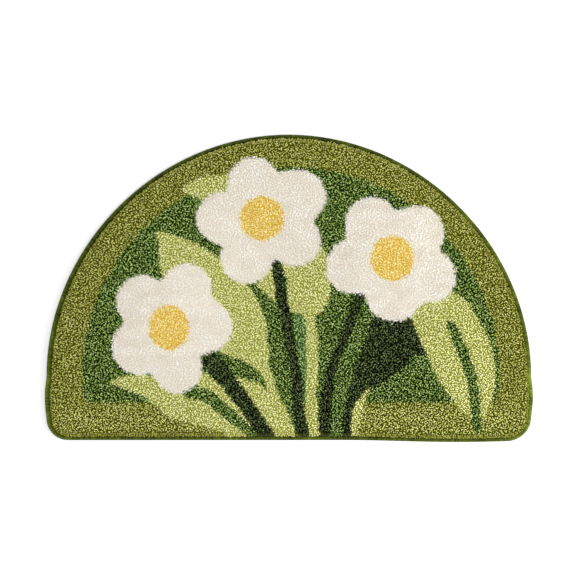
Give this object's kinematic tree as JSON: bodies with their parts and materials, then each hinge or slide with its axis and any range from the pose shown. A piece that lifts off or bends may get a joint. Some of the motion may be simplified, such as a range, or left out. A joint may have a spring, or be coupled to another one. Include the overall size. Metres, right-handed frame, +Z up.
{
  "type": "half moon bath mat",
  "caption": "Half-moon tufted bath mat: a flat cloth piece with a straight front edge and a half-round back, short cut pile in a daisy pattern, and an overcast yarn edging.",
  "frame": {"origin": "middle of the whole mat's underside, on the floor", "axes": "+X along the straight front edge, +Y towards the top of the arch, +Z up out of the pile"},
  "size_m": [0.8002, 0.504, 0.0151],
  "materials": {
    "pile": "matt cut pile, olive with a daisy pattern",
    "edging_yarn": "dense overcast yarn, moss green"
  },
  "bodies": {
    "root": {"mat": "pile", "edging": "edging_yarn"}
  },
  "joints": []
}
